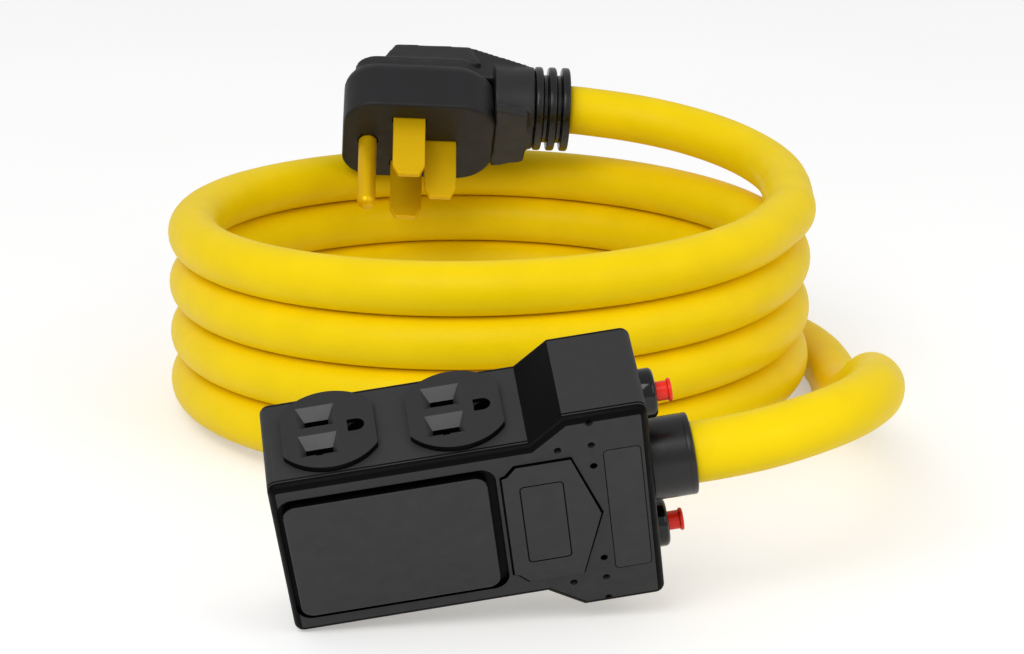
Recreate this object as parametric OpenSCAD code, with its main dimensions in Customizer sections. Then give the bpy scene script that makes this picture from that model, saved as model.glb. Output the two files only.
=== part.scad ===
// Shore power cord: a four-blade right-angle plug, a coiled thick cord and a
// T-shaped outlet box with four receptacles and two push-to-reset breakers.
// The origin is on the floor under the middle of the box.

/* [Box] */
// Length of the box without its cord boss
box_l = 115.5; // [114:0.5:118]
// Half the width of the narrow end that holds the outlets
narrow = 31; // [30.5:0.5:32]
// Half the width of the wide end that holds the breakers
wide = 39.5; // [39:0.5:41]
// Thickness of the box from its back to its front
box_t = 39; // [38.5:0.5:41]
// Wall of the moulded housing
wall = 2.6; // [2.2:0.1:2.8]
// Thickness of the screwed-on front cover
cover_t = 3; // [2.8:0.1:3.4]
// Radius of the housing's four end corners
corner_r = 3; // [1:0.5:4]

/* [Outlets] */
// Distance between the two outlets on one side
outlet_pitch = 38.5; // [38:0.5:39.5]
// Distance of the first outlet from the end of the box
outlet_x = 20.5; // [20:0.5:21.5]
// Diameter of the round outlet face
outlet_d = 34; // [33:0.5:34]
// Distance between the flats of the outlet face
outlet_flat = 28.6; // [27:0.2:29]
// Height of the outlet face over the wall
outlet_h = 2; // [1:0.5:2.5]
// Distance between the two blade slots of an outlet
slot_pitch = 12.7; // [12.7:0.1:12.7]
// Distance of the ground hole from the line of the blade slots
ground_off = 11.9; // [11.9:0.1:11.9]
// Radius of the round ground hole
ground_r = 2.6; // [2.5:0.05:2.7]

/* [Breakers] */
// Distance of each reset button from the box's middle line
breaker_y = 27.5; // [27:0.5:28]
// Outer diameter of the bezel nut
bezel_d = 15.4; // [14:0.2:16]
// Length of the bezel nut
bezel_l = 4.5; // [4:0.5:5]
// How far the reset button stands out of its bezel
button_out = 5; // [4.5:0.5:6]
// Travel of the reset button
button_travel = 3; // [2:0.5:3]

/* [Cord] */
// Outer diameter of the cord
cord_d = 19; // [18.6:0.1:19.2]
// Radius of the coil's centre line
coil_r = 112; // [112:1:114]
// Height from one turn of the coil to the next
coil_pitch = 19.5; // [19.4:0.05:20.4]
// How far the lowest turn swings out from under the turn above it
coil_flare = 20; // [19:0.5:21]

/* [Plug] */
// Length of the plug's face along the cord
plug_l = 60; // [58:1:62]
// Width of the plug's face
plug_w = 48; // [46:1:50]
// Depth of the plug from its face to its back
plug_t = 38; // [37:0.5:39]
// Distance between the two line blades
blade_pitch = 28.6; // [28.6:0.1:28.6]
// Length of the line and neutral blades
blade_l = 27; // [25:0.5:29]
// Length of the ground pin
pin_l = 33; // [32:0.5:34]
// Diameter of the ground pin
pin_d = 7.2; // [6.4:0.2:7.6]

/* [Hidden] */
$fn = 48;
eps = 0.01;
gap = 0.2; // clearance between pieces that are put together

// Where the pieces stand
box_ref = [-59.9, -23.6, 27.485]; // end of the box's middle line, on its front
box_turn = [114.3, 0, 8]; // lean towards the front, then the swing about the vertical
box_roll = 9.1; // the cord end of the box is the higher one
coil_centre = [1.5, 238, 0];
plug_ref = [32.5, 324.8, 96]; // where the cord leaves the plug
plug_turn = [131, 3, 3];

// Box
shoulder_x = 79; // the narrow end stops here
wide_x = 90; // and the wide end starts here
slope = atan2(wide - narrow, wide_x - shoulder_x);
mid_z = -box_t / 2;
outlet_z = -20.5;
block = [23.2, 24.8, 11]; // the outlet's block, which its face hides
slot_u = -3.4; // place of the slots on the outlet face, along the box
slot_t = 2.2;
panel_x = [3.2, 65.2];
panel_y = 23.1;
recess_x = [1.6, 67.9];
recess_y = 25.1;
recess_z = 1.5;
badge = [[69, -20.7], [69, 20.7], [70.6, 21.2], [73.6, 24.6], [91.2, 24.6], [99, 0],
    [91.2, -24.6], [73.6, -24.6], [70.6, -21.2]];
vents = [[87.4, 28], [97.6, 19.5], [97.6, 28], [97.6, 37]];
vent_r = 1.1;
post_places = [[6.2, 5], [76, 22]];
post_r = 3.4;
post_split = -8; // the housing's posts end here, and the cover's bosses start
screw_r = 1.35;
screw_head_r = 3;

// Contacts: strips on both faces of the carrier, springs behind the slots
strip_y = 8;
strip_t = 0.8;
strip_w = 5.3;
spring_gap = 1.5;
spring_t = 0.6;
spring_l = 7.5;
contact_y = 19.4; // the springs end just under the outlet blocks
ground_tube_r = 3.4;
sleeve_r = 2.2; // the spring sleeves are narrower than the ground holes

// Breakers and boss
breaker_size = [21.9, 14, 30];
thread_r = 6;
stem_r = 3;
stem_l = 10; // length of the button's stem inside the box
button_r = 3.6;
button_rim = 1.2;
slide_gap = 0.08;
tab = [5, 6, 0.8];
tab_z = 8; // height of the breaker's tabs over and under its middle
boss_r = 12.8;
boss_l = 14.2;
boss_neck_r = 11;
boss_flange = [13.6, 3];
boss_bore = cord_d / 2 + 0.1;
clamp_x = 102.5;
clamp_size = [6, 26, 28.4];
clamp_top = -8;
clamp_screw_y = 11.4;
cord_end_x = 101.4;
wire_r = 2.2;
load_r = 1.7;

// Cord. The coil runs down clockwise; t counts its turns from the back.
loop_rings = 24;
cord_r = cord_d / 2;
free_sides = 8;
coil_sides = 6;
floor_z = cord_r * cos(180 / free_sides); // the cord's middle where it lies flat
coil_ring_r = floor_z / cos(180 / coil_sides);
coil_t = [0.3, 4.25];
land_t = 3.85; // the lowest turn reaches the floor here
flare_t = [3.7, 4.2];
end_straight = cord_d; // straight stretch at both ends of the coil
boss_straight = 4; // and where the cord leaves the boss

// Plug, along x towards the cord, with z out of the face
relief_l = 14;
relief_r = 16.8;
relief_core_r = 13.6;
neck_l = 16.5;
face_x = [-relief_l - neck_l - plug_l, -relief_l - neck_l];
plug_back = -18.5; // the flat back of the plug's hump
face_top = plug_t + plug_back;
groove_z = [-7.5, -3.5]; // the groove between the face part and the back
groove_in = 4.5;
lip_in = [2.5, 3.5]; // the groove's lips are drawn in: the face part's and the back's
lip_z = 2; // the face part narrows from here to the groove
back_z = -9; // the back without its hump
back_in = 5.5;
hump_x = [-76, -35.8];
hump_slope = 5.5;
hump_y = [18, 15]; // half its width at its foot and top
ramp = [-17, 11, -13.5]; // the hump falls off over the neck to here
neck_r = [17.5, 16.6];
neck_x = -24; // the neck is round and even from here to the relief
apron_x = -17; // a flat tongue under the neck runs on from the face
apron_y = [19, 15];
apron_z = [12, 16.2];
face_r = 13; // round far end of the face
cavity = [46, 35]; // the blade carrier's pocket in the face part
cavity_x = -84.5;
face_skin = 4;
pin_x = -80.5;
hot_x = -64.5;
neutral_x = -51.5;
blade_w = 12.7;
blade_t = 2.3;
blade_root = 12; // length of a blade inside the carrier
blade_bevel = 2.2;
pin_root_r = 2.8; // the pin's root is thinner and its shoulder stands on the face

// Free stretches: chosen points from the plug to the coil and from the coil to the box
lead_route = [[45, 324.9, 94.6], [64.6, 322.7, 91.9], [81, 315.9, 89.3], [95.1, 305.1, 86.6],
    [105.9, 291, 84], [112.7, 274.6, 81.8], [115, 257, 80.4], [114.8, 239.5, 79.4]];
tail_route = [[134, 193.3, 14.6], [134.2, 167.6, 24], [133.8, 141.9, 34], [132.7, 116.2, 43.5],
    [131, 90.5, 51.5], [129.1, 64.8, 57], [125.7, 47.2, 59.4], [117, 30.3, 60],
    [103.7, 16.7, 59.2], [87.1, 7.5, 57.2]];

// ---- placing ----
module on_box() {
    translate(box_ref) rotate(box_turn) rotate([0, 0, box_roll]) children();
}

module on_plug() {
    translate(plug_ref) rotate(plug_turn) children();
}

// Outlet frame: z out of the wall, y towards the box's back, and x along the box on the
// upper side and back along it on the lower side, whose outlets are turned half round
module on_side(place, side) {
    translate([place, side * narrow, outlet_z]) rotate([-90, 0, 90 - 90 * side]) children();
}

// ---- shapes ----
function corner(centre, start, radius) =
    [for (i = [0:6]) centre + radius * [cos(start + i * 15), sin(start + i * 15)]];

// The box's outline, drawn in by a distance
function outline(inset) =
    let (shift = inset * tan(slope / 2), r = max(corner_r - inset, 0.6),
        n = narrow - inset, w = wide - inset, x0 = inset, x1 = box_l - inset)
    concat([[shoulder_x + shift, -n], [wide_x + shift, -w]],
        corner([x1 - r, -w + r], 270, r), corner([x1 - r, w - r], 0, r),
        [[wide_x + shift, w], [shoulder_x + shift, n]],
        corner([x0 + r, n - r], 90, r), corner([x0 + r, -n + r], 180, r));

module prism(points, z0, z1) {
    translate([0, 0, z0]) linear_extrude(z1 - z0) polygon(points);
}

// Rounded rectangle between two corners
module round_rect(x, y, r) {
    union() {
        translate([x[0] + r, y[0]]) square([x[1] - x[0] - 2 * r, y[1] - y[0]]);
        translate([x[0], y[0] + r]) square([x[1] - x[0], y[1] - y[0] - 2 * r]);
        for (px = [x[0] + r, x[1] - r], py = [y[0] + r, y[1] - r]) translate([px, py]) circle(r);
    }
}

module round_plate(x, y, r, z0, z1) {
    translate([0, 0, z0]) linear_extrude(z1 - z0) round_rect(x, y, r);
}

// A cylinder along x
module rod(x0, x1, r) {
    translate([x0, 0, 0]) rotate([0, 90, 0]) cylinder(h = x1 - x0, r = r);
}

// A wire through a list of points. It starts towards -x and ends along x, either way
module wire(points, r, end = -1) {
    tube(points, [-1, 0, 0], [end, 0, 0], r, free_sides);
}

function mirrored(points) = [for (p = points) [p.x, -p.y, p.z]];

// ---- tubes ----
function unit(v) = v / norm(v);

// One ring of a tube: square to a direction, with a flat facet below
function ring(centre, along, radius, sides) =
    let (side = unit(cross(along, [0, 0, 1])), up = cross(side, along))
    [for (i = [0:sides - 1]) let (a = (i + 0.5) * 360 / sides - 90)
        centre + radius * (cos(a) * side + sin(a) * up)];

// Directions at the points of a route, with both ends given
function headings(route, first, last) =
    [for (i = [0:len(route) - 1])
        i == 0 ? first : i == len(route) - 1 ? last
        : unit(unit(route[i + 1] - route[i]) + unit(route[i] - route[i - 1]))];

module tube(route, first, last, radius, sides) {
    along = headings(route, first, last);
    count = len(route);
    points = [for (i = [0:count - 1]) each ring(route[i], along[i], radius, sides)];
    skin = [for (i = [0:count - 2], k = [0:sides - 1])
        let (a = i * sides + k, b = i * sides + (k + 1) % sides)
        each [[a, b, b + sides], [a, b + sides, a + sides]]];
    start = [for (k = [1:sides - 2]) [0, k + 1, k]];
    last_ring = (count - 1) * sides;
    end = [for (k = [1:sides - 2]) [last_ring, last_ring + k, last_ring + k + 1]];
    polyhedron(points, concat(start, skin, end), convexity = 10);
}

// ---- the coil's line ----
function smooth(u) = let (v = min(max(u, 0), 1)) v * v * (3 - 2 * v);
function coil_radius(t) = coil_r + coil_flare * smooth((t - flare_t[0]) / (flare_t[1] - flare_t[0]));
function coil_z(t) = floor_z + max(land_t - t, 0) * coil_pitch;
function coil_point(t) = coil_centre
    + [coil_radius(t) * sin(360 * t), coil_radius(t) * cos(360 * t), coil_z(t)];
function coil_heading(t) = unit(coil_point(t + 0.002) - coil_point(t - 0.002));

coil_steps = round((coil_t[1] - coil_t[0]) * loop_rings);
coil_line = [for (i = [0:coil_steps])
    coil_point(coil_t[0] + (coil_t[1] - coil_t[0]) * i / coil_steps)];
coil_in = coil_heading(coil_t[0]);
coil_out = [0, -1, 0];
coil_first = coil_line[0] - end_straight * coil_in;
coil_last = coil_line[coil_steps] + end_straight * coil_out;
coil_route = concat([coil_first], coil_line, [coil_last]);

// Least gap of the coil to itself, measured between points more than half a turn apart
coil_gap = min([for (i = [0:coil_steps - loop_rings / 2], j = [i + loop_rings / 2:coil_steps])
    norm(coil_line[i] - coil_line[j])]) - cord_d;
echo(coil_gap = coil_gap);
assert(coil_gap > 0.4);

// Where the cord meets the plug and the box
function turn_x(v, a) = [v.x, v.y * cos(a) - v.z * sin(a), v.y * sin(a) + v.z * cos(a)];
function turn_y(v, a) = [v.x * cos(a) + v.z * sin(a), v.y, v.z * cos(a) - v.x * sin(a)];
function turn_z(v, a) = [v.x * cos(a) - v.y * sin(a), v.x * sin(a) + v.y * cos(a), v.z];
function turned(v, a) = turn_z(turn_y(turn_x(v, a.x), a.y), a.z);
function box_point(p) = box_ref + turned(turn_z(p, box_roll), box_turn);

plug_out = turned([1, 0, 0], plug_turn);
box_out = box_point([1, 0, 0]) - box_ref;
boss_end = box_point([box_l + boss_l, 0, mid_z]);
lead_line = concat([plug_ref], lead_route, [coil_first]);
tail_line = concat([coil_last], tail_route, [boss_end + boss_straight * box_out, boss_end]);

function route_length(route) = len(route) < 2 ? 0
    : norm(route[1] - route[0]) + route_length([for (i = [1:len(route) - 1]) route[i]]);
echo(cord_length = route_length(lead_line) + route_length(coil_route) + route_length(tail_line));
echo(boss_end = boss_end, box_out = box_out);

// ---- box ----
module rear_housing() color([0.2, 0.2, 0.2]) on_box() difference() {
    union() {
        difference() {
            prism(outline(0), -box_t, -cover_t);
            prism(outline(wall), -box_t + wall, 0);
        }
        for (p = post_places, s = [-1, 1])
            translate([p.x, s * p.y, -box_t + wall / 2])
                cylinder(h = post_split + box_t - wall / 2, r = post_r);
    }
    for (place = [outlet_x, outlet_x + outlet_pitch], side = [-1, 1]) on_side(place, side)
        translate([0, 0, -wall / 2]) cube([block.x + gap, block.y + gap, 2 * wall], center = true);
    for (s = [-1, 1]) translate([0, s * breaker_y, mid_z]) rod(box_l - 2 * wall, box_l + 1, thread_r + gap);
    translate([0, 0, mid_z]) rod(box_l - 2 * wall, box_l + 1, boss_neck_r + gap);
    for (p = post_places, s = [-1, 1]) translate([p.x, s * p.y, -box_t - 1]) {
        cylinder(h = box_t, r = screw_r + gap);
        cylinder(h = 3, r = screw_head_r + gap);
    }
}

module front_cover() color([0.22, 0.22, 0.22]) on_box() difference() {
    union() {
        prism(outline(0), -cover_t, 0);
        difference() {
            prism(outline(wall + gap), -cover_t - 1.5, -cover_t + eps);
            prism(outline(wall + 2), -cover_t - 2, 0);
        }
        for (p = post_places, s = [-1, 1]) translate([p.x, s * p.y, post_split])
            cylinder(h = -cover_t - post_split + eps, r = post_r);
    }
    round_plate(recess_x, [-recess_y, recess_y], 5, -recess_z, 1);
    prism(badge, -recess_z, 1);
    round_plate([100.8, 112.3], [-25, 25], 1.5, -0.6, 1);
    for (v = vents, s = [-1, 1]) translate([v.x, s * v.y, -cover_t - 2])
        cylinder(h = cover_t + 3, r = vent_r);
    for (p = post_places, s = [-1, 1]) translate([p.x, s * p.y, post_split - 1])
        cylinder(h = -post_split - 1.4, r = screw_r);
}

module front_panel() color([0.24, 0.24, 0.24]) on_box()
    round_plate(panel_x, [-panel_y, panel_y], 4, -recess_z, recess_z);

module badge_plate() color([0.24, 0.24, 0.24]) on_box() difference() {
    translate([0, 0, -recess_z]) linear_extrude(recess_z + 0.6)
        polygon([for (p = badge) [p.x < 80 ? p.x + 0.6 : p.x > 95 ? p.x - 0.7 : p.x - 0.3, p.y * 0.98]]);
    difference() {
        round_plate([74.4, 88], [-16, 16], 1.5, 0.3, 1);
        round_plate([74.8, 87.6], [-15.6, 15.6], 1.1, 0, 2);
    }
}

module label_plate() color([0.25, 0.25, 0.25]) on_box()
    round_plate([101, 112.1], [-24.8, 24.8], 1.3, -0.6, 0.05);

// ---- outlets ----
module slot_prism(size, place, z0, z1) {
    translate([place.x, place.y, (z0 + z1) / 2]) cube([size.x, size.y, z1 - z0], center = true);
}

module funnel(v, slot_l) {
    hull() {
        slot_prism([11.8, 9.4], [slot_u, v], outlet_h, outlet_h + 1);
        slot_prism([slot_l, slot_t], [slot_u, v], -1, -1 + eps);
    }
}

module outlet_shape() {
    v = slot_pitch / 2;
    difference() {
        union() {
            linear_extrude(outlet_h) intersection() {
                circle(d = outlet_d);
                square([outlet_flat, outlet_d + 2], center = true);
            }
            translate([0, 0, (eps - block.z) / 2]) cube([block.x, block.y, block.z + eps], center = true);
        }
        funnel(v, 7.2);
        funnel(-v, 8.2);
        slot_prism([7.2, slot_t], [slot_u, v], -block.z - 1, 0);
        slot_prism([8.2, slot_t], [slot_u, -v], -block.z - 1, 0);
        slot_prism([slot_t, 4], [slot_u, -v - 2.8], -block.z - 1, outlet_h + 1);
        translate([slot_u + ground_off, 0, -block.z - 1]) cylinder(h = block.z + outlet_h + 2, r = ground_r);
        slot_prism([ground_r, 2 * ground_r], [slot_u + ground_off - ground_r / 2, 0], 0.5, outlet_h + 1);
    }
}

module outlet(place, side) color([0.2, 0.2, 0.2]) on_box() on_side(place, side) outlet_shape();
module outlet_left_x() outlet(outlet_x, 1);
module outlet_right_x() outlet(outlet_x + outlet_pitch, 1);
module outlet_left_y() outlet(outlet_x, -1);
module outlet_right_y() outlet(outlet_x + outlet_pitch, -1);

// ---- contacts ----
module contact_carrier() color([0.75, 0.72, 0.65]) on_box()
    translate([10.6, -strip_y + gap, -box_t + wall]) cube([55.4, 2 * (strip_y - gap), box_t - wall - 7]);

// A strip on one face of the carrier; drop is its height over the outlets' middle
module strip(x0, x1, side, drop, width) {
    y0 = side > 0 ? strip_y : -strip_y - strip_t;
    translate([x0, y0, outlet_z + drop - width / 2]) cube([x1 - x0, strip_t, width]);
}

// Two springs behind each slot of one side
module springs(side, drop) {
    y0 = side > 0 ? strip_y + strip_t - eps : -contact_y;
    for (place = [outlet_x, outlet_x + outlet_pitch], s = [-1, 1])
        translate([place + side * slot_u - spring_l / 2, y0,
                outlet_z + drop + s * (spring_gap + spring_t) / 2 - spring_t / 2])
            cube([spring_l, contact_y - strip_y - strip_t + eps, spring_t]);
}

module hot_bus(side) color([0.8, 0.6, 0.25]) on_box() {
    strip(14, 70, side, -slot_pitch / 2, strip_w);
    springs(side, -slot_pitch / 2);
}
module hot_bus_x() hot_bus(1);
module hot_bus_y() hot_bus(-1);

module neutral_bus() color([0.82, 0.66, 0.32]) on_box() {
    for (side = [-1, 1]) {
        strip(9.75, side > 0 ? 80 : 68, side, slot_pitch / 2, strip_w);
        springs(side, slot_pitch / 2);
    }
    translate([9.75, -strip_y - strip_t, outlet_z + slot_pitch / 2 - strip_w / 2])
        cube([strip_t, 2 * (strip_y + strip_t), strip_w]);
}

module ground_bus() color([0.7, 0.55, 0.25]) on_box() difference() {
    union() {
        for (side = [-1, 1]) {
            strip(side > 0 ? 24 : 11.5, 73.8, side, 0, 4);
            for (place = [outlet_x, outlet_x + outlet_pitch]) on_side(place, side)
                translate([slot_u + ground_off, 0, -narrow + strip_y + strip_t - eps])
                    cylinder(h = contact_y - strip_y - strip_t, r = ground_tube_r);
        }
        translate([73, -strip_y - strip_t, outlet_z - 2]) cube([strip_t, 2 * (strip_y + strip_t), 4]);
    }
    for (side = [-1, 1], place = [outlet_x, outlet_x + outlet_pitch]) on_side(place, side)
        translate([slot_u + ground_off, 0, -narrow + strip_y + strip_t])
            cylinder(h = contact_y, r = sleeve_r);
}

// ---- breakers ----
module on_breaker(side) {
    on_box() translate([0, side * breaker_y, mid_z]) children();
}

module breaker(side) color([0.12, 0.12, 0.13]) on_breaker(side) difference() {
    x0 = box_l - wall - breaker_size.x;
    union() {
        translate([x0, -breaker_size.y / 2, -breaker_size.z / 2]) cube(breaker_size);
        for (s = [-1, 1]) translate([x0 - tab.x, -tab.y / 2, s * tab_z - tab.z / 2])
            cube([tab.x + 1, tab.y, tab.z]);
    }
    rod(box_l - stem_l - button_travel - 1, box_l, stem_r + 0.6);
}
module breaker_x() breaker(1);
module breaker_y() breaker(-1);

module bezel_nut(side) color([0.1, 0.1, 0.1]) on_breaker(side) difference() {
    union() {
        rod(box_l - wall, box_l + eps, thread_r);
        translate([box_l, 0, 0]) rotate([0, 90, 0]) rotate_extrude()
            polygon([[0, 0], [bezel_d / 2, 0], [bezel_d / 2, bezel_l - 1.4],
                [bezel_d / 2 - 0.4, bezel_l - 0.5], [bezel_d / 2 - 1.4, bezel_l], [0, bezel_l]]);
    }
    rod(box_l - 2 * wall, box_l + bezel_l + 1, stem_r + slide_gap);
}
module bezel_nut_x() bezel_nut(1);
module bezel_nut_y() bezel_nut(-1);

module reset_button(side) color([0.85, 0.15, 0.1]) on_breaker(side) {
    rod(box_l - stem_l, box_l + bezel_l + button_out - button_rim + eps, stem_r);
    rod(box_l + bezel_l + button_out - button_rim, box_l + bezel_l + button_out, button_r);
}
module reset_button_x() reset_button(1);
module reset_button_y() reset_button(-1);

// ---- wires, along the upper side of the box; the lower side mirrors them ----
feed_line = [[cord_end_x - gap, 4, -23.5], [94, 8, -26], [86, 15, -27.6], [82.6, 21, -27.6],
    [82.6, 26, -27.6], [85.2, 27.5, -27.5]];
load_line = [[85.4, 27.5, -11.5], [82.6, 26, -11.5], [81, 17, -15], [78, 12.8, -21],
    [74, 10.8, -26.9], [67.2, 10.8, -26.9]];
neutral_line = [[cord_end_x - gap, 4, -15.5], [92, 7, -14.5], [84, 8.4, -14.15], [80.2, 8.4, -14.15]];
ground_line = [[cord_end_x - gap, -4, -15.5], [90, -3, -18], [80, 0, -20.5], [74.1, 0, -20.5]];

module feed_wire_x() color([0.1, 0.1, 0.1]) on_box() wire(feed_line, wire_r, 1);
module feed_wire_y() color([0.75, 0.1, 0.1]) on_box() wire(mirrored(feed_line), wire_r, 1);
module load_wire_x() color([0.1, 0.1, 0.1]) on_box() wire(load_line, load_r);
module load_wire_y() color([0.75, 0.1, 0.1]) on_box() wire(mirrored(load_line), load_r);
module neutral_wire() color([0.9, 0.9, 0.9]) on_box() wire(neutral_line, wire_r);
module ground_wire() color([0.1, 0.55, 0.2]) on_box() wire(ground_line, wire_r);

// ---- cord entry of the box ----
module cord_boss() color([0.16, 0.16, 0.16]) on_box() translate([0, 0, mid_z]) difference() {
    union() {
        rod(box_l, box_l + boss_l, boss_r);
        rod(box_l - wall - eps, box_l + eps, boss_neck_r);
        rod(box_l - wall - boss_flange[1], box_l - wall, boss_flange[0]);
    }
    rod(box_l - 20, box_l + boss_l + 1, boss_bore);
}

module cord_end_box() color([0.94, 0.8, 0.05]) on_box() translate([0, 0, mid_z])
    rod(cord_end_x, box_l + boss_l, cord_r);

module clamp_holes(r) {
    for (s = [-1, 1]) translate([clamp_x + clamp_size.x / 2, s * clamp_screw_y, clamp_top - 26])
        cylinder(h = 40, r = r);
}

module cord_clamp() color([0.3, 0.3, 0.32]) on_box() difference() {
    translate([clamp_x, -clamp_size.y / 2, -box_t + wall]) cube(clamp_size);
    translate([0, 0, mid_z]) rod(clamp_x - 1, clamp_x + clamp_size.x + 1, cord_r + 0.1);
    translate([clamp_x - 1, -clamp_size.y, mid_z - 0.2]) cube([clamp_size.x + 2, 2 * clamp_size.y, 0.4]);
    clamp_holes(1.3);
}

module clamp_screws() color([0.7, 0.7, 0.72]) on_box()
    for (s = [-1, 1]) translate([clamp_x + clamp_size.x / 2, s * clamp_screw_y, 0]) {
        translate([0, 0, clamp_top - 24]) cylinder(h = 24 + eps, r = 1.2);
        translate([0, 0, clamp_top]) cylinder(h = 1.6, r = 1.6);
    }

module housing_screws() color([0.7, 0.7, 0.72]) on_box()
    for (p = post_places, s = [-1, 1]) translate([p.x, s * p.y, 0]) difference() {
        union() {
            translate([0, 0, -box_t + 0.2]) cylinder(h = 1.7, r = screw_head_r);
            translate([0, 0, -box_t + 1]) cylinder(h = box_t - 6, r = screw_r - 0.05);
        }
        for (a = [0, 90]) rotate(a) translate([0, 0, -box_t]) cube([4, 0.8, 1.8], center = true);
    }

// ---- cord ----
module cord_tail() color([0.94, 0.8, 0.05])
    tube(tail_line, coil_out, -box_out, cord_r, free_sides);

module cord_coil() color([0.94, 0.8, 0.05])
    tube(coil_route, coil_in, coil_out, coil_ring_r, coil_sides);

module cord_lead() color([0.94, 0.8, 0.05])
    tube(lead_line, plug_out, coil_in, cord_r, free_sides);

module cord_end_plug() color([0.94, 0.8, 0.05]) on_plug() rod(-relief_l - neck_l + 2, 0, cord_r);

// ---- plug ----
module plug_strain_relief() color([0.13, 0.13, 0.13]) on_plug() difference() {
    union() {
        rod(-relief_l, 0, relief_core_r);
        for (x = [-14, -8.6, -3.2]) rod(x, x + 3.2, relief_r);
    }
    rod(-relief_l - 1, 1, cord_r + 0.1);
}

// Outline of the face: round at the far end, tapered at the cord end
module face_outline(inset) {
    x0 = face_x[0] + inset;
    x1 = face_x[1] - inset;
    w = plug_w / 2 - inset;
    r = face_r - inset;
    union() {
        for (s = [-1, 1]) translate([x0 + r, s * (w - r)]) circle(r);
        translate([x0, r - w]) square([r + 1, 2 * (w - r)]);
        polygon([[x0 + r, -w], [x1 - 9, -w], [x1, -w + 7], [x1, w - 7], [x1 - 9, w], [x0 + r, w]]);
    }
}

// The face's outline as a thin sheet at one height
module sheet(z, inset) {
    translate([0, 0, z]) linear_extrude(eps) face_outline(inset);
}

module plug_face() color([0.14, 0.14, 0.14]) on_plug() difference() {
    union() {
        translate([0, 0, lip_z]) linear_extrude(face_top - lip_z) face_outline(0);
        hull() {
            sheet(lip_z, 0);
            sheet(groove_z[1], lip_in[0]);
        }
    }
    translate([cavity_x, -cavity.y / 2, groove_z[1] - 1])
        cube([cavity.x, cavity.y, face_top - face_skin - groove_z[1] + 1]);
    blade_cuts(gap / 2, groove_z[1], face_top + 1);
}

// The openings that the blades pass through
module blade_cuts(play, z0, z1) {
    size = [blade_w + 2 * play, blade_t + 2 * play];
    for (s = [-1, 1]) slot_prism(size, [hot_x, s * blade_pitch / 2], z0, z1);
    slot_prism(size, [neutral_x, 0], z0, z1);
    translate([pin_x, 0, z0]) cylinder(h = z1 - z0, r = pin_root_r + play);
}

module plug_body() color([0.14, 0.14, 0.14]) on_plug() difference() {
    union() {
        translate([0, 0, groove_z[0]]) linear_extrude(groove_z[1] - groove_z[0]) face_outline(groove_in);
        hull() {
            sheet(groove_z[0], lip_in[1]);
            sheet(back_z, back_in);
        }
        hull() {
            strip_at([hump_x[0] + hump_slope, hump_x[1] - hump_slope], hump_y[1], plug_back);
            strip_at(hump_x, hump_y[0], back_z + 1);
        }
        hull() {
            strip_at([hump_x[1] - hump_slope - 1, hump_x[1] - hump_slope], hump_y[1], plug_back);
            wall_at(hump_x[1] - hump_slope, hump_y[1], [back_z, groove_z[1]]);
            wall_at(ramp.x, ramp.y, [ramp.z, groove_z[1]]);
        }
        intersection() {
            union() {
                translate([face_x[1], 0, 0]) rotate([0, 90, 0])
                    cylinder(h = neck_x - face_x[1], r1 = neck_r[0], r2 = neck_r[1]);
                rod(neck_x - eps, -relief_l - gap, neck_r[1]);
            }
            translate([face_x[1], -plug_w / 2, -plug_t])
                cube([2 * neck_l, plug_w, plug_t + apron_z[1]]);
        }
        hull() {
            wall_at(face_x[1], apron_y[0], apron_z);
            wall_at(apron_x, apron_y[1], apron_z);
        }
        translate([face_x[1] - 10, -14, back_z + 1]) cube([10 + eps, 28, groove_z[1] - back_z - 1]);
    }
    rod(face_x[1] + 1.9, 0, cord_r + 0.1);
}

// A thin flat strip and a thin upright wall, for hulls
module strip_at(x, y, z) {
    translate([x[0], -y, z]) cube([x[1] - x[0], 2 * y, eps]);
}

module wall_at(x, y, z) {
    translate([x, -y, z[0]]) cube([eps, 2 * y, z[1] - z[0]]);
}

module blade_carrier() color([0.75, 0.72, 0.65]) on_plug() difference() {
    translate([cavity_x + gap, -cavity.y / 2 + gap, groove_z[1]])
        cube([cavity.x - 2 * gap, cavity.y - 2 * gap, face_top - face_skin - groove_z[1] - gap]);
    blade_cuts(gap / 2, face_top - face_skin - blade_root, face_top);
}

// A blade with bevelled tip corners, standing in the carrier
module blade(place) {
    z0 = face_top - face_skin - blade_root + gap;
    z1 = face_top + blade_l;
    h = blade_w / 2;
    translate([place.x, place.y + blade_t / 2, 0]) rotate([90, 0, 0]) linear_extrude(blade_t)
        polygon([[-h, z0], [h, z0], [h, z1 - 2 * blade_bevel], [h - blade_bevel, z1],
            [blade_bevel - h, z1], [-h, z1 - 2 * blade_bevel]]);
}

module hot_blade_x() color([0.85, 0.66, 0.15]) on_plug() blade([hot_x, blade_pitch / 2]);
module hot_blade_y() color([0.85, 0.66, 0.15]) on_plug() blade([hot_x, -blade_pitch / 2]);
module neutral_blade() color([0.85, 0.66, 0.15]) on_plug() blade([neutral_x, 0]);

module ground_pin() color([0.85, 0.66, 0.15]) on_plug() {
    z0 = face_top - face_skin - blade_root + gap;
    translate([pin_x, 0, z0]) cylinder(h = face_top - z0 + eps, r = pin_root_r);
    translate([pin_x, 0, face_top]) cylinder(h = pin_l - pin_d / 2, d = pin_d);
    translate([pin_x, 0, face_top + pin_l - pin_d / 2]) sphere(d = pin_d);
}

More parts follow.
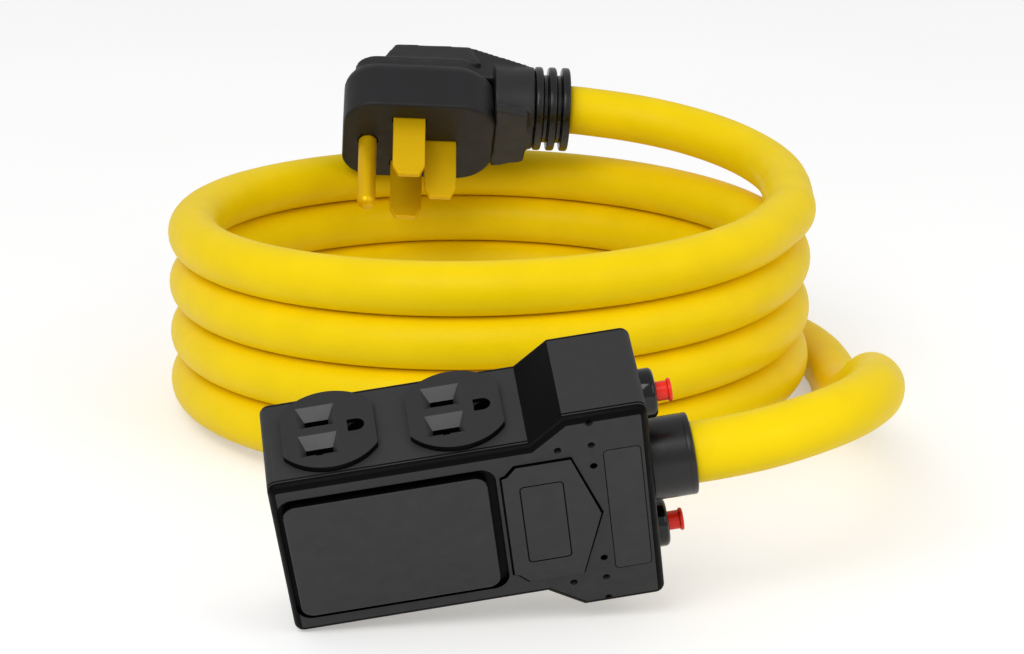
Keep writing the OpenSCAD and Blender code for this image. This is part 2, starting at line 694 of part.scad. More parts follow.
rear_housing();
front_cover();
front_panel();
badge_plate();
label_plate();
outlet_left_x();
outlet_right_x();
outlet_left_y();
outlet_right_y();
contact_carrier();
hot_bus_x();
hot_bus_y();
neutral_bus();
ground_bus();
breaker_x();
breaker_y();
bezel_nut_x();
bezel_nut_y();
reset_button_x();
reset_button_y();
feed_wire_x();
feed_wire_y();
load_wire_x();
load_wire_y();
neutral_wire();
ground_wire();
cord_boss();
cord_clamp();
clamp_screws();
housing_screws();
cord_end_box();
cord_tail();
cord_coil();
cord_lead();
cord_end_plug();
plug_strain_relief();
plug_body();
plug_face();
blade_carrier();
hot_blade_x();
hot_blade_y();
neutral_blade();
ground_pin();
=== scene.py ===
"""Looks of the shore power cord: moulded box and plug, thick yellow cord, brass blades."""
import math

import bmesh
import bpy
from mathutils import Euler, Matrix, Vector


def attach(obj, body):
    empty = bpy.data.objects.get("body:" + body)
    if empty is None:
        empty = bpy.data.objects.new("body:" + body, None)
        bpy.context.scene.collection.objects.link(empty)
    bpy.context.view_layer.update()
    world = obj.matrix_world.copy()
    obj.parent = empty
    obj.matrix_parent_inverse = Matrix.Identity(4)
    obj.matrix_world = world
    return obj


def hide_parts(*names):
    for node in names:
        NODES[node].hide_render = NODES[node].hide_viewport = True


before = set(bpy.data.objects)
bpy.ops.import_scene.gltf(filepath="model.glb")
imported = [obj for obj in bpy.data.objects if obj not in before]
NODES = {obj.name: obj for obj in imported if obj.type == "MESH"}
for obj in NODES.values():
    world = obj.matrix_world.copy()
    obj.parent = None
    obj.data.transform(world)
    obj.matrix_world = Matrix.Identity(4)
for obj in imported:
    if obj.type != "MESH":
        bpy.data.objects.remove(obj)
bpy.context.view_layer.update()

MM = 0.001
FIXED = "cord_set"
SIDES = (("x", 1), ("y", -1))

# Sizes in millimetres, as in the part's source: outlet box
BOX_L = 115.5
BOX_BACK = -39
MID_Z = -19.5
NARROW, WIDE = 31, 39.5
SHOULDER_X, WIDE_X = 79, 90
CORNER_R = 3
SEAM_Z = -3
SKIRT_Z = -9
BREAKER_Y = 27.5
BOSS_L = 14.2
BOSS_STRAIGHT = 4

# Plug
FACE_X = (-90.5, -30.5)
FACE_HALF = 24
FACE_R = 13
FACE_TOP = 19.5
HOT_X, NEUTRAL_X, PIN_X, BLADE_Y = -64.5, -51.5, -80.5, 14.3
PIN_R, PIN_CORE_R = 3.6, 2.8
PIN_START, PIN_END = 3.7, 52.5
RELIEF_L = 14

# Cord
CORD_D = 19
JACKET_R = 9.63
COIL_CENTRE = (1.5, 238)
COIL_R = 112
COIL_PITCH = 19.26
COIL_T = (0.3, 4.25)
COIL_STEPS = 95
FLAT_T = 3.85
SWING_OUT, SWING_T, SWING_TURNS = 20, 3.7, 0.5
SMALL_T = 0.002
ROUTE_STEPS = 6
LEAD = [(45, 324.9, 94.6), (64.6, 322.7, 91.9), (81, 315.9, 89.3), (95.1, 305.1, 86.6),
        (105.9, 291, 84), (112.7, 274.6, 81.8), (115, 257, 80.4), (114.8, 239.5, 79.4)]
TAIL = [(134, 193.3, 14.6), (134.2, 167.6, 24), (133.8, 141.9, 34), (132.7, 116.2, 43.5),
        (131, 90.5, 51.5), (129.1, 64.8, 57), (125.7, 47.2, 59.4), (117, 30.3, 60),
        (103.7, 16.7, 59.2), (87.1, 7.5, 57.2)]


def add_object(name, data):
    o = bpy.data.objects.new(name, data)
    bpy.context.scene.collection.objects.link(o)
    return o


# ---- placing, as in the part's source: local millimetres to metres ----
def place(ref, turn, roll=0.0):
    turned = Euler([math.radians(a) for a in turn]).to_matrix().to_4x4()
    rolled = Matrix.Rotation(math.radians(roll), 4, "Z")
    return Matrix.Translation(Vector(ref) * MM) @ turned @ rolled @ Matrix.Scale(MM, 4)


def direction(matrix, v):
    return (matrix.to_3x3() @ Vector(v)).normalized()


BOX = place((-59.9, -23.6, 27.485), (114.3, 0, 8), 9.1)
PLUG = place((32.5, 324.8, 96), (131, 3, 3))
TO_BOX = BOX.inverted()

# ---- camera ----
ELEVATION = math.radians(15.6)
DISTANCE = 1.2
AIM = Vector((9.95, 238, 29)) * MM
camera = add_object("camera", bpy.data.cameras.new("camera"))
bpy.context.scene.camera = camera
camera.location = AIM + DISTANCE * Vector((0, -math.cos(ELEVATION), math.sin(ELEVATION)))
camera.rotation_euler = (math.pi / 2 - ELEVATION, 0, 0)
camera.data.sensor_width = 36
camera.data.lens = 110
camera.data.clip_end = 20


# ---- the cord's route, in millimetres, from the box to the plug ----
def ease(u):
    u = min(max(u, 0.0), 1.0)
    return u * u * (3 - 2 * u)


def coil_point(t):
    """The coil runs down clockwise to a flat, wider last turn; t counts turns from the back."""
    r = COIL_R + SWING_OUT * ease((t - SWING_T) / SWING_TURNS)
    a = 2 * math.pi * t
    z = JACKET_R + max(FLAT_T - t, 0) * COIL_PITCH
    return Vector((COIL_CENTRE[0] + r * math.sin(a), COIL_CENTRE[1] + r * math.cos(a), z))


def smooth_path(points, first, last, steps):
    """A smooth curve through the points, with its direction given at both ends."""
    ways = [first]
    for a, b, c in zip(points, points[1:], points[2:]):
        d0, d1 = (b - a).length, (c - b).length
        ways.append((((b - a) / d0) * d1 + ((c - b) / d1) * d0) / (d0 + d1))
    ways.append(last)
    path = []
    for (a, ta), (b, tb) in zip(zip(points, ways), zip(points[1:], ways[1:])):
        d = (b - a).length
        for i in range(steps):
            u = i / steps
            path.append(a * (2 * u ** 3 - 3 * u ** 2 + 1) + ta * d * (u ** 3 - 2 * u ** 2 + u)
                        + b * (3 * u ** 2 - 2 * u ** 3) + tb * d * (u ** 3 - u ** 2))
    return path + [points[-1]]


def skin(bm, rings):
    """Faces between rings of as many points each."""
    for a, b in zip(rings, rings[1:]):
        for k in range(len(a)):
            j = (k + 1) % len(a)
            bm.faces.new([a[k], a[j], b[j], b[k]])


def tube(path, radius, sides=32):
    """A round tube along a path that is never upright."""
    bm = bmesh.new()
    rings = []
    for i, p in enumerate(path):
        along = (path[min(i + 1, len(path) - 1)] - path[max(i - 1, 0)]).normalized()
        side = along.cross(Vector((0, 0, 1))).normalized()
        up = side.cross(along)
        rings.append([bm.verts.new(p + radius * (math.cos(a) * side + math.sin(a) * up))
                      for a in (2 * math.pi * k / sides for k in range(sides))])
    skin(bm, rings)
    bm.faces.new(rings[0])
    bm.faces.new(rings[-1])
    bmesh.ops.recalc_face_normals(bm, faces=bm.faces[:])
    return bm


turns = COIL_T[1] - COIL_T[0]
coil = [coil_point(COIL_T[0] + turns * i / COIL_STEPS) for i in range(COIL_STEPS + 1)]
coil_in = (coil_point(COIL_T[0] + SMALL_T) - coil_point(COIL_T[0] - SMALL_T)).normalized()
box_out = direction(BOX, (1, 0, 0))
plug_out = direction(PLUG, (1, 0, 0))
boss_end = BOX @ Vector((BOX_L + BOSS_L, 0, MID_Z)) / MM
plug_end = PLUG @ Vector((0, 0, 0)) / MM
route = [boss_end, boss_end + BOSS_STRAIGHT * box_out] + [Vector(p) for p in reversed(TAIL)]
route += [coil[-1] - Vector((0, CORD_D, 0))] + coil[::-1] + [coil[0] - CORD_D * coil_in]
route += [Vector(p) for p in reversed(LEAD)] + [plug_end]
cord_path = [p * MM for p in smooth_path(route, box_out, -plug_out, ROUTE_STEPS)]
cord_mesh = bpy.data.meshes.new("cord")
jacket = tube(cord_path, JACKET_R * MM)
jacket.to_mesh(cord_mesh)
jacket.free()
cord_mesh.shade_smooth()
cord = add_object("power_cord", cord_mesh)
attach(cord, FIXED)
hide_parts("cord_tail", "cord_coil", "cord_lead")

# ---- materials ----
CLOUD_SCALE = 60
GLOSS_SCALE = 220
SWIRL_SCALE = 35
GLOSS_VARIES = 0.05
BRUSH_SCALE = 900
BRUSH_DEPTH = 0.000006
TARNISH_SCALE = 90
TARNISH = 0.93


def colour(r, g, b):
    """An sRGB colour in 0 to 255 as the shader's linear one."""
    linear = [((c / 255 + 0.055) / 1.055) ** 2.4 if c > 10 else c / 255 / 12.92
              for c in (r, g, b)]
    return linear + [1]


class Nodes:
    """Node tree with short calls."""

    def __init__(self, name):
        self.material = bpy.data.materials.new(name)
        self.material.use_nodes = True
        self.tree = self.material.node_tree
        self.shader = self.tree.nodes["Principled BSDF"]
        self.coords = self.add("ShaderNodeTexCoord").outputs["Object"]

    def add(self, kind, **inputs):
        node = self.tree.nodes.new(kind)
        for key, value in inputs.items():
            self.put(node, key.replace("_", " "), value)
        return node

    def put(self, node, key, value):
        """Links a socket, or sets its value."""
        socket = node.inputs[key]
        if isinstance(value, bpy.types.NodeSocket):
            self.tree.links.new(value, socket)
        else:
            socket.default_value = value

    def noise(self, scale, detail=3.0, stretch=None, rough=0.5):
        """Noise with a scale in cells per metre."""
        vector = self.coords
        if stretch:
            vector = self.add("ShaderNodeMapping", Vector=vector, Scale=stretch).outputs[0]
        node = self.add("ShaderNodeTexNoise", Vector=vector, Scale=scale, Detail=detail,
                        Roughness=rough)
        return node.outputs["Fac"]

    def spread(self, value, low, high, start=0.3, end=0.7):
        node = self.add("ShaderNodeMapRange", Value=value, From_Min=start, From_Max=end,
                        To_Min=low, To_Max=high)
        return node.outputs[0]

    def blend(self, fac, a, b):
        node = self.add("ShaderNodeMix")
        node.data_type = "RGBA"
        for socket, value in ((0, fac), (6, a), (7, b)):
            self.put(node, socket, value)
        return node.outputs[2]

    def bump(self, height, distance, normal=None):
        node = self.add("ShaderNodeBump", Height=height, Distance=distance, Strength=1.0)
        if normal:
            self.put(node, "Normal", normal)
        return node.outputs[0]


def plastic(name, rgb, rough, grain=0.0, scale=2500, specular=0.5, vary=0.12, swirl=0.0):
    """Moulded plastic: a slightly uneven colour and gloss over a fine grain."""
    n = Nodes(name)
    base = colour(*rgb)
    light = [min(c * (1 + vary), 1) for c in base[:3]] + [1]
    dark = [c * (1 - vary) for c in base[:3]] + [1]
    clouds = n.spread(n.noise(CLOUD_SCALE, 4), 0, 1)
    gloss = n.spread(n.noise(GLOSS_SCALE, 3), rough - GLOSS_VARIES, rough + GLOSS_VARIES)
    n.put(n.shader, "Base Color", n.blend(clouds, dark, light))
    n.put(n.shader, "Roughness", gloss)
    n.put(n.shader, "Specular IOR Level", specular)
    normal = None
    if swirl:
        normal = n.bump(n.noise(SWIRL_SCALE, 2), swirl)
    if grain:
        normal = n.bump(n.noise(scale, 2), grain, normal)
    if normal:
        n.put(n.shader, "Normal", normal)
    return n.material


def metal(name, rgb, rough, stretch=(1, 1, 1), metallic=1.0):
    """Brushed metal, with a slight tarnish in spots."""
    n = Nodes(name)
    base = colour(*rgb)
    brushed = n.noise(BRUSH_SCALE, 3, stretch)
    dull = [c * TARNISH for c in base[:3]] + [1]
    spots = n.spread(n.noise(TARNISH_SCALE, 4), 0, 1)
    n.put(n.shader, "Base Color", n.blend(spots, dull, base))
    n.put(n.shader, "Roughness", n.spread(brushed, rough - 0.05, rough + 0.06))
    n.put(n.shader, "Normal", n.bump(brushed, BRUSH_DEPTH))
    n.put(n.shader, "Metallic", metallic)
    n.put(n.shader, "Specular IOR Level", 0.2)
    return n.material


HOUSING = plastic("housing_grained", (43, 43, 44), 0.62, 0.00005, 2600, specular=0.35, vary=0.04)
# Near-black painted shade for shoulders, grooves, recess walls and rounded edges
SHADE_BLACK = plastic("housing_painted_shade", (3, 3, 3), 0.45, specular=0.06)
PANEL = plastic("panel_grained", (46, 46, 47), 0.60, 0.00004, 2600, specular=0.35, vary=0.04)
OUTLET = plastic("outlet_face", (35, 35, 36), 0.55, 0.00003, 3000, specular=0.35, vary=0.04)
# The outlet's plastic, glossier, with its colour lightened as a painted highlight on the funnel
# faces
FUNNEL_LIT = plastic("outlet_funnel_lit", (54, 54, 56), 0.36, vary=0.04)
# Near-black painted shade for the slots' insides and the outlet face's side wall
SLOT_SHADE = plastic("outlet_slot_shade", (5, 5, 5), 0.5, specular=0.1)
BEZEL = plastic("bezel_gloss", (5, 5, 6), 0.10, specular=0.4)
BOSS = plastic("boss_satin", (14, 14, 15), 0.32, 0.00002, 3000, specular=0.42, vary=0.05)
BUTTON = plastic("button_red", (244, 40, 16), 0.30, specular=0.35, vary=0.05)
BODY = plastic("plug_moulded", (34, 34, 35), 0.48, 0.00010, 1500, specular=0.35)
FACE = plastic("plug_face_dark", (27, 27, 30), 0.52, 0.00005, 2200, specular=0.30)
RELIEF = plastic("relief_gloss", (10, 10, 10), 0.26, specular=0.45)
CORD = plastic("cord_jacket", (250, 216, 0), 0.46, 0.00002, 1400, specular=0.12, vary=0.03,
               swirl=0.0004)
BRASS = metal("blade_brass", (238, 192, 6), 0.40, (1, 1, 0.08), 0.5)
CONTACT = metal("contact_brass", (205, 165, 75), 0.35)
STEEL = metal("screw_steel", (176, 178, 182), 0.35)
CARRIER = plastic("carrier_white", (206, 200, 184), 0.55, 0.00003)
BREAKER = plastic("breaker_black", (24, 24, 25), 0.5, 0.00003)
CLAMP = plastic("clamp_grey", (72, 72, 76), 0.55, 0.00004)
WIRE_BLACK = plastic("wire_black", (18, 18, 19), 0.4)
WIRE_RED = plastic("wire_red", (176, 20, 22), 0.4)
WIRE_WHITE = plastic("wire_white", (228, 228, 224), 0.4)
WIRE_GREEN = plastic("wire_green", (20, 122, 52), 0.4)
cord_mesh.materials.append(CORD)

# ---- building pieces ----
SAME_POINT = 2e-6
SAME_PLANE = math.radians(0.5)


def from_cad(node):
    """A node's faces as a clean mesh: doubled points joined and flat areas made whole."""
    bm = bmesh.new()
    mesh = NODES[node].data
    verts = [bm.verts.new(v.co) for v in mesh.vertices]
    for polygon in mesh.polygons:
        bm.faces.new([verts[i] for i in polygon.vertices])
    bmesh.ops.remove_doubles(bm, verts=bm.verts[:], dist=SAME_POINT)
    bmesh.ops.dissolve_limit(bm, angle_limit=SAME_PLANE, verts=bm.verts[:], edges=bm.edges[:])
    bmesh.ops.recalc_face_normals(bm, faces=bm.faces[:])
    return bm


def sharp_edges(bm, angle=35):
    limit = math.radians(angle)
    return [e for e in bm.edges if len(e.link_faces) == 2 and e.calc_face_angle() > limit]


def bevel(bm, edges, width, segments=2, material=-1):
    bmesh.ops.bevel(bm, geom=edges, offset=width * MM, offset_type="OFFSET", segments=segments,
                    profile=0.5, affect="EDGES", clamp_overlap=True, material=material)


def finished(name, mesh, materials, node, body=FIXED, angle=40):
    """A mesh as the visible piece that stands for a node."""
    for m in materials:
        mesh.materials.append(m)
    mesh.shade_smooth()
    mesh.set_sharp_from_angle(angle=math.radians(angle))
    o = add_object(name, mesh)
    o.modifiers.new("normals", "WEIGHTED_NORMAL").keep_sharp = True
    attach(o, body)
    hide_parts(node)


def piece(name, bm, materials, node, body=FIXED, angle=40):
    mesh = bpy.data.meshes.new(name)
    bm.to_mesh(mesh)
    bm.free()
    finished(name, mesh, materials, node, body, angle)


def loft(rings, matrix, material=0):
    """A closed solid through rings of the same number of points."""
    bm = bmesh.new()
    made = [[bm.verts.new(matrix @ Vector(p)) for p in ring] for ring in rings]
    skin(bm, made)
    bm.faces.new(made[0][::-1])
    bm.faces.new(made[-1])
    bmesh.ops.recalc_face_normals(bm, faces=bm.faces[:])
    for f in bm.faces:
        f.material_index = material
    return bm


def lathe(profile, matrix, sides=64):
    """Turned about local x; the profile is a closed list of (x, r)."""
    bm = bmesh.new()
    angles = [2 * math.pi * i / sides for i in range(sides)]
    rings = []
    for x, r in profile:
        spin = angles if r > 0 else [0]
        rings.append([bm.verts.new(matrix @ Vector((x, r * math.cos(a), r * math.sin(a))))
                      for a in spin])
    for a, b in zip(rings, rings[1:]):
        for k in range(sides):
            j = (k + 1) % sides
            quad = [a[k % len(a)], a[j % len(a)], b[j % len(b)], b[k % len(b)]]
            unique = list(dict.fromkeys(quad))
            if len(unique) > 2:
                bm.faces.new(unique)
    bmesh.ops.recalc_face_normals(bm, faces=bm.faces[:])
    return bm


def evaluated_mesh(o):
    return bpy.data.meshes.new_from_object(
        o.evaluated_get(bpy.context.evaluated_depsgraph_get()))


def boolean(a, b, operation):
    """Both meshes combined; faces keep their material numbers."""
    objects = []
    for bm in (a, b):
        mesh = bpy.data.meshes.new("part")
        bm.to_mesh(mesh)
        bm.free()
        for m in (HOUSING, SHADE_BLACK, FUNNEL_LIT):
            mesh.materials.append(m)
        objects.append(add_object("part", mesh))
    modifier = objects[0].modifiers.new("cut", "BOOLEAN")
    modifier.operation = operation
    modifier.solver = "EXACT"
    modifier.object = objects[1]
    result = evaluated_mesh(objects[0])
    out = bmesh.new()
    out.from_mesh(result)
    for o in objects:
        bpy.data.objects.remove(o)
    bpy.data.meshes.remove(result)
    return out


def arc(cx, cy, start, end, r, steps):
    """Points on an arc, angles in degrees."""
    angles = [math.radians(start + (end - start) * i / steps) for i in range(steps + 1)]
    return [(cx + r * math.cos(a), cy + r * math.sin(a)) for a in angles]


# ---- outlet box ----
HAIR = 0.02
SEAM_INSET = 0.35
RIM = 0.8
RECESS_Z = (-1.6, -0.2)
BORDER_Z = (0.25, 0.35)


def outline(inset, steps=8):
    """The box's T shape, drawn in by an inset."""
    slope = math.atan2(WIDE - NARROW, WIDE_X - SHOULDER_X)
    shift = inset * math.tan(slope / 2)
    r = max(CORNER_R - inset, 0.5)
    n, w, x0, x1 = NARROW - inset, WIDE - inset, inset, BOX_L - inset
    points = [(SHOULDER_X + shift, -n), (WIDE_X + shift, -w)]
    points += arc(x1 - r, r - w, 270, 360, r, steps) + arc(x1 - r, w - r, 0, 90, r, steps)
    points += [(WIDE_X + shift, w), (SHOULDER_X + shift, n)]
    points += arc(x0 + r, n - r, 90, 180, r, steps) + arc(x0 + r, r - n, 180, 270, r, steps)
    return points


def rounding(levels):
    """A solid that trims the box's edges; levels are heights and insets from the outline. Its
    faces paint the rounded edges near-black as shade.
    """
    return loft([[(x, y, z) for x, y in outline(inset - HAIR)] for z, inset in levels], BOX, 1)


def quarter(edge, radius, side, steps=5):
    """Heights and insets of a rounded edge that ends at a flat face, going up or down."""
    made = []
    for i in range(steps + 1):
        a = math.radians(90 * i / steps)
        made.append((edge - side * radius * (1 - math.sin(a)), radius * (1 - math.cos(a))))
    return made if side > 0 else made[::-1]


def paint_shade(bm, test):
    """Faces that pass the test get the near-black painted-shade material."""
    for f in bm.faces:
        if test(TO_BOX @ f.calc_center_median(), direction(TO_BOX, f.normal)):
            f.material_index = 1


def on_slope(centre, normal):
    """The slanting shoulders between the narrow and the wide part, painted near-black as shade.
    """
    return SHOULDER_X < centre.x < WIDE_X and abs(normal.x) > 0.5 and abs(normal.y) > 0.7


def in_recess(centre, normal):
    """The cover's recess around the raised panel, its floor and walls painted as shade."""
    return (RECESS_Z[0] < centre.z < RECESS_Z[1] and abs(centre.y) < NARROW - 5
            and (normal.z > 0.9 or abs(normal.z) < 0.3))


def on_border(centre, normal):
    """A plate's side walls and the floor of the line drawn on it, painted as shade."""
    return abs(normal.z) < 0.5 or BORDER_Z[0] < centre.z < BORDER_Z[1]


def on_front(e):
    """Edges in the cover's front face, away from its rim."""
    for v in e.verts:
        p = TO_BOX @ v.co
        half = NARROW if p.x < SHOULDER_X else WIDE
        if abs(p.z) > 0.05 or not RIM < p.x < BOX_L - 1 or abs(p.y) > half - RIM:
            return False
    return True


rear_levels = quarter(BOX_BACK - HAIR, 2.5, -1)
rear_levels += [(SEAM_Z - 0.4, 0), (SEAM_Z + HAIR, SEAM_INSET)]
rear = boolean(from_cad("rear_housing"), rounding(rear_levels), "INTERSECT")
# The rear shell's slanting shoulders get painted shade
paint_shade(rear, on_slope)
piece("shell_rear", rear, [HOUSING, SHADE_BLACK], "rear_housing")

cover_levels = [(SKIRT_Z, SEAM_INSET), (SEAM_Z - HAIR, SEAM_INSET), (SEAM_Z + 0.3, 0)]
cover_levels += quarter(HAIR, 2.4, 1)
cover = from_cad("front_cover")
# Narrow bevels on the front's edges, painted near-black as shade
bevel(cover, [e for e in sharp_edges(cover, 60) if on_front(e)], 0.3, material=1)
cover = boolean(cover, rounding(cover_levels), "INTERSECT")
# The cover's shoulders and the recess round the panel get painted shade
paint_shade(cover, lambda c, n: on_slope(c, n) or in_recess(c, n))
piece("shell_cover", cover, [HOUSING, SHADE_BLACK], "front_cover")

for node, name, width in (("front_panel", "raised_panel", 0.7),
                          ("badge_plate", "arrow_plate", 0.15),
                          ("label_plate", "bare_label_plate", 0.04)):
    bm = from_cad(node)
    # The plates' side walls and drawn lines get painted shade
    paint_shade(bm, on_border)
    bevel(bm, sharp_edges(bm), width, 3)
    piece(name, bm, [PANEL, SHADE_BLACK], node)

# ---- outlets: flat face, funnels that lean in with a painted lighter tone, and slots and side walls painted black as shade ----
for tag, side in SIDES:
    for hand in ("left", "right"):
        bm = from_cad(f"outlet_{hand}_{tag}")
        out = direction(BOX, (0, side, 0))
        for f in bm.faces:
            lean = f.normal.dot(out)
            # Faces that lean part way out get the funnel plastic, whose lighter tone is a
            # painted highlight besides its real gloss; faces across the outlet's axis (side
            # wall, slot insides) get near-black painted shade
            f.material_index = 2 if 0.2 < lean < 0.97 else 1 if lean < 0.2 else 0
        proud = [e for e in sharp_edges(bm, 30)
                 if all(abs((TO_BOX @ v.co).y) > NARROW + 0.1 for v in e.verts)]
        bevel(bm, proud, 0.18)
        piece(f"receptacle_{hand}_{tag}", bm, [OUTLET, SLOT_SHADE, FUNNEL_LIT],
              f"outlet_{hand}_{tag}")

# ---- breakers' bezel nuts, reset buttons and the cord boss: (x, r) from the box's end ----
NUT = [(-2.6, 3.1), (-2.6, 6), (0, 6), (0, 7.5), (0.25, 7.7), (3.0, 7.7), (3.5, 7.6),
       (3.95, 7.3), (4.3, 6.8), (4.5, 6.2), (4.5, 4.2), (4.1, 3.7), (3.6, 3.5), (3.6, 3.1),
       (-2.6, 3.1)]
RESET = [(-10, 0), (-10, 3), (8.1, 3), (8.3, 3.3), (8.5, 3.55), (8.9, 3.6), (9.2, 3.55),
         (9.42, 3.35), (9.5, 3.1), (9.45, 2.2), (9.35, 1.2), (9.3, 0)]
SLEEVE = [(-5.6, 9.6), (-5.6, 13.6), (-2.6, 13.6), (-2.6, 11), (0, 11), (0, 12.3), (0.35, 12.6),
          (0.8, 12.8), (11.9, 12.8), (12.1, 12.65), (12.3, 12.8), (13.4, 12.8), (13.8, 12.7),
          (14.05, 12.45), (14.2, 12.1), (14.2, 10.2), (14.0, 9.8), (13.6, 9.6), (-5.6, 9.6)]
for tag, side in SIDES:
    at = BOX @ Matrix.Translation((BOX_L, side * BREAKER_Y, MID_Z))
    piece("bezel_" + tag, lathe(NUT, at), [BEZEL], "bezel_nut_" + tag)
    piece("button_" + tag, lathe(RESET, at), [BUTTON], "reset_button_" + tag,
          body="reset_button_" + tag)
at = BOX @ Matrix.Translation((BOX_L, 0, MID_Z))
piece("boss", lathe(SLEEVE, at, 96), [BOSS], "cord_boss")

# ---- plug ----
FACE_EDGE = ((0, 1.3), (0.08, 0.85), (0.35, 0.4), (0.75, 0.12), (1.3, 0), (16.9, 0),
             (17.9, 0.08), (19.3, 0.5), (20.7, 1.2), (22.1, 2.2), (23, 3.4))
SHADED_RECESS_Z = (FACE_TOP - 1, FACE_TOP + 1.5)
BLADE_RECESS = (13.7, 3.3)
PIN_RECESS_R = 4.2


def face_outline(inset, steps=12):
    """The face's shape: round at the pin's end and drawn to a blunt nose at the other."""
    r = FACE_R - inset
    x0, x1, w = FACE_X[0] + inset, FACE_X[1] - inset, FACE_HALF - inset
    points = arc(x0 + r, r - w, 180, 270, r, steps)
    nose = [(x1 - FACE_R, -w), (x1 - 3.4, 1.2 - w), (x1, 12 - w)]
    for i in range(steps + 1):
        u = i / steps
        points.append(tuple((1 - u) ** 2 * a + 2 * u * (1 - u) * b + u * u * c
                            for a, b, c in zip(*nose)))
    return points + [(x, -y) for x, y in reversed(points)]


def shaded_recess(body, ring):
    """The body with a shallow recess of the ring's shape in the plug's face, its walls and floor
    painted near-black as shade.
    """
    cutter = loft([[(x, y, z) for x, y in ring] for z in SHADED_RECESS_Z], PLUG, 1)
    return boolean(body, cutter, "DIFFERENCE")


front = loft([[(x, y, FACE_TOP - down) for x, y in face_outline(inset)]
              for down, inset in FACE_EDGE], PLUG)
for x, y in ((HOT_X, BLADE_Y), (HOT_X, -BLADE_Y), (NEUTRAL_X, 0)):
    front = shaded_recess(front, [(x + a * BLADE_RECESS[0] / 2, y + b * BLADE_RECESS[1] / 2)
                         for a, b in ((-1, -1), (1, -1), (1, 1), (-1, 1))])
front = shaded_recess(front, [(PIN_X + PIN_RECESS_R * math.cos(a), PIN_RECESS_R * math.sin(a))
                     for a in (math.pi * i / 16 for i in range(32))])
piece("plug_front", front, [FACE, SHADE_BLACK], "plug_face", angle=50)


def softened(node, voxel, rounds, smooth):
    """A node's form with moulded, rounded edges."""
    bm = from_cad(node)
    mesh = bpy.data.meshes.new(node)
    bm.to_mesh(mesh)
    bm.free()
    o = add_object(node + "_soft", mesh)
    remesh = o.modifiers.new("remesh", "REMESH")
    remesh.mode = "VOXEL"
    remesh.voxel_size = voxel * MM
    relax = o.modifiers.new("relax", "SMOOTH")
    relax.factor = smooth
    relax.iterations = rounds
    result = evaluated_mesh(o)
    bpy.data.objects.remove(o)
    return result


back_form = softened("plug_body", voxel=0.7, rounds=8, smooth=0.5)
finished("plug_back", back_form, [BODY], "plug_body", angle=180)

RIB = ((0.05, 16.2), (0.35, 16.6), (0.8, 16.8), (2.4, 16.8), (2.85, 16.6), (3.15, 16.2),
       (3.2, 15.8))
GROOVE = ((3.4, 13.9), (3.7, 13.6), (4.9, 13.6), (5.2, 13.9), (5.4, 15.8))
ribs = [(-RELIEF_L, 9.6), (-RELIEF_L, 15.8)]
for start, shape in ((-14, RIB + GROOVE), (-8.6, RIB + GROOVE), (-3.2, RIB)):
    ribs += [(start + x, r) for x, r in shape]
ribs += [(0, 12), (-0.5, 10.2), (-1.2, 9.6), (-RELIEF_L, 9.6)]
piece("relief_ribs", lathe(ribs, PLUG, 96), [RELIEF], "plug_strain_relief")

for node in ("hot_blade_x", "hot_blade_y", "neutral_blade"):
    bm = from_cad(node)
    bevel(bm, sharp_edges(bm, 20), 0.35, 3)
    piece(node.replace("blade", "prong"), bm, [BRASS], node)
pin_at = PLUG @ Matrix.Translation((PIN_X, 0, 0)) @ Matrix.Rotation(-math.pi / 2, 4, "Y")
pin = [(PIN_START, 0), (PIN_START, PIN_CORE_R), (FACE_TOP, PIN_CORE_R), (FACE_TOP, PIN_R - 0.3),
       (FACE_TOP + 0.3, PIN_R)]
pin += [(PIN_END - PIN_R + PIN_R * math.sin(a), PIN_R * math.cos(a))
        for a in (math.pi / 2 * i / 8 for i in range(8))] + [(PIN_END, 0)]
piece("ground_prong", lathe(pin, pin_at, 48), [BRASS], "ground_pin")

# ---- pieces that stay as they are and get a finish ----
KEPT = {CARRIER: ("contact_carrier", "blade_carrier"),
        CONTACT: ("hot_bus_x", "hot_bus_y", "neutral_bus", "ground_bus"),
        BREAKER: ("breaker_x", "breaker_y"),
        WIRE_BLACK: ("feed_wire_x", "load_wire_x"),
        WIRE_RED: ("feed_wire_y", "load_wire_y"),
        WIRE_WHITE: ("neutral_wire",),
        WIRE_GREEN: ("ground_wire",),
        CLAMP: ("cord_clamp",),
        STEEL: ("clamp_screws", "housing_screws"),
        CORD: ("cord_end_box", "cord_end_plug")}
for material, kept_nodes in KEPT.items():
    for node in kept_nodes:
        for s in NODES[node].material_slots:
            s.material = material

# ---- floor, lights and world ----
FLOOR_HALF = 6
FLOOR_GLOW = 0.34
WORLD_LIGHT, WORLD_SEEN = 0.62, 1.0
WHITE = (1, 1, 1, 1)
LIT = (0, 0.15, 0.04)


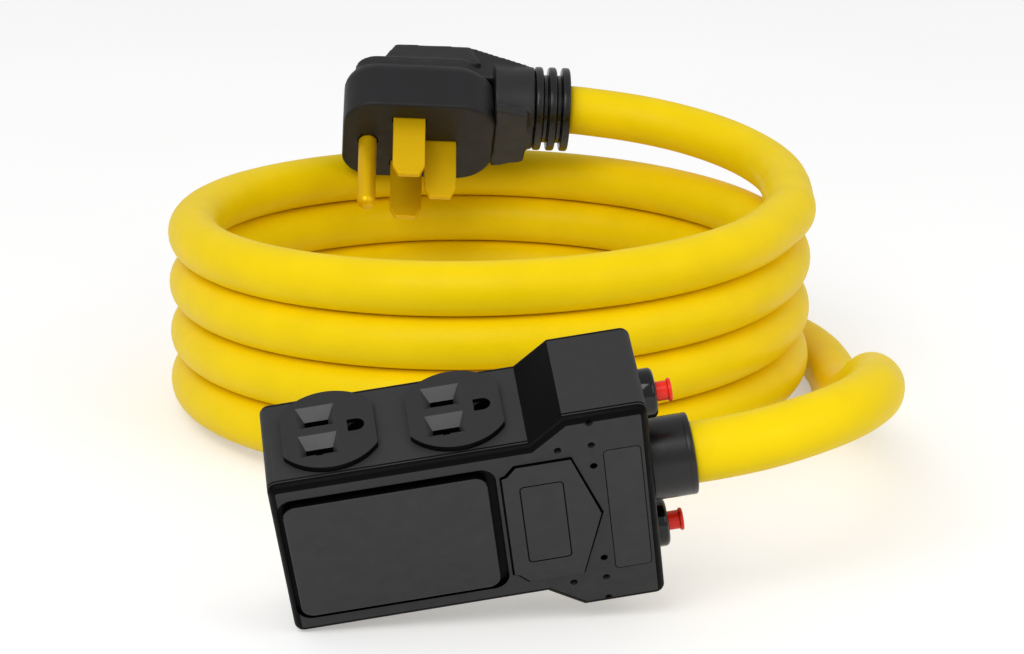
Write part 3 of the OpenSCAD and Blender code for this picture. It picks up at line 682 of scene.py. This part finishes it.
def either_ray(tree, *kinds):
    """1 for a ray of one of the two kinds, otherwise 0."""
    paths = tree.nodes.new("ShaderNodeLightPath")
    seen = tree.nodes.new("ShaderNodeMath")
    seen.operation = "MAXIMUM"
    for kind, socket in zip(kinds, seen.inputs):
        tree.links.new(paths.outputs[kind], socket)
    return seen.outputs[0]


def lamp(name, location, size, power):
    data = bpy.data.lights.new(name, "AREA")
    data.size = size
    data.energy = power
    o = add_object(name, data)
    o.location = location
    o.rotation_euler = (Vector(LIT) - o.location).to_track_quat("-Z", "Y").to_euler()


corners = [(x * FLOOR_HALF, y * FLOOR_HALF, 0) for x, y in ((-1, -1), (1, -1), (1, 1), (-1, 1))]
floor_mesh = bpy.data.meshes.new("floor")
floor_mesh.from_pydata(corners, [], [(0, 1, 2, 3)])
floor = add_object("floor", floor_mesh)
paper = Nodes("floor_paper")
mottle = paper.spread(paper.noise(3, 2), 0, 1)
paper.put(paper.shader, "Base Color",
          paper.blend(mottle, [0.8, 0.8, 0.8, 1], [0.83, 0.83, 0.83, 1]))
paper.put(paper.shader, "Roughness", 0.9)
paper.put(paper.shader, "Specular IOR Level", 0.0)
glow = paper.add("ShaderNodeMath")
glow.operation = "MULTIPLY"
paper.put(glow, 0, either_ray(paper.tree, "Is Camera Ray", "Is Glossy Ray"))
paper.put(glow, 1, FLOOR_GLOW)
paper.put(paper.shader, "Emission Strength", glow.outputs[0])
paper.put(paper.shader, "Emission Color", WHITE)
floor_mesh.materials.append(paper.material)

lamp("key", (-0.5, -1.1, 1.25), size=1.0, power=12)
lamp("fill", (1.2, -0.8, 0.9), size=0.9, power=4)
world = bpy.data.worlds.new("studio")
bpy.context.scene.world = world
world.use_nodes = True
sky = world.node_tree
backdrop = sky.nodes["Background"]
backdrop.inputs["Color"].default_value = WHITE
level = sky.nodes.new("ShaderNodeMapRange")
level.inputs["To Min"].default_value = WORLD_LIGHT
level.inputs["To Max"].default_value = WORLD_SEEN
shown = either_ray(sky, "Is Camera Ray", "Is Transmission Ray")
sky.links.new(shown, level.inputs["Value"])
sky.links.new(level.outputs[0], backdrop.inputs["Strength"])
bpy.context.scene.view_settings.view_transform = "Standard"
